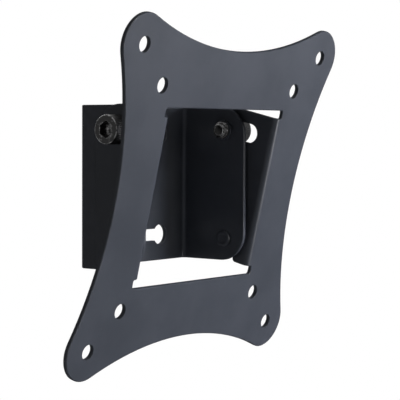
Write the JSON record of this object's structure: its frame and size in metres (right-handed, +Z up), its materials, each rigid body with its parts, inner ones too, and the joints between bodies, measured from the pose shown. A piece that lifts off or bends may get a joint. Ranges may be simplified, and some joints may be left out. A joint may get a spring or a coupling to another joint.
{
  "type": "tilting tv wall mount",
  "caption": "Tilting screen wall mount: a folded steel plate with hollow sides and a square window, hinged by its ears on a U-shaped wall bracket and clamped by screws in arc slots.",
  "frame": {"origin": "on the wall's surface in the middle of the bracket's width, halfway between the pivots' and tilt screws' heights", "axes": "+Y into the wall, +X to the right as seen from the room, +Z up"},
  "size_m": [0.12, 0.0483, 0.1169],
  "materials": {
    "powder_coat": "satin charcoal powder coat with a fine grain",
    "screw_steel": "black oxide, worn bright on the rims and knurls",
    "washer_steel": "black zinc",
    "rivet_paint": "painted with the bracket"
  },
  "bodies": {
    "wall_side": {"wall_bracket": "powder_coat", "pivot_rivet_left": "rivet_paint", "pivot_rivet_right": "rivet_paint", "pivot_washer_left": "washer_steel", "pivot_washer_right": "washer_steel", "tilt_washer_left": "washer_steel", "tilt_washer_right": "washer_steel"},
    "plate_side": {"front_plate": "powder_coat"},
    "left_tilt_screw": {"tilt_screw_left": "screw_steel"},
    "right_tilt_screw": {"tilt_screw_right": "screw_steel"}
  },
  "joints": [
    {"name": "tilt", "type": "hinge", "parent": "wall_side", "child": "plate_side", "pos_m": [0, -0.0197, -0.0196], "axis": [1, 0, 0], "range_deg": [-13.4, 1.6]},
    {"name": "left_screw_turn", "type": "hinge", "parent": "wall_side", "child": "left_tilt_screw", "pos_m": [-0.0319, -0.0197, 0.0196], "axis": [-1, 0, 0], "range_deg": [0, 360]},
    {"name": "right_screw_turn", "type": "hinge", "parent": "wall_side", "child": "right_tilt_screw", "pos_m": [0.0319, -0.0197, 0.0196], "axis": [1, 0, 0], "range_deg": [0, 360]}
  ]
}
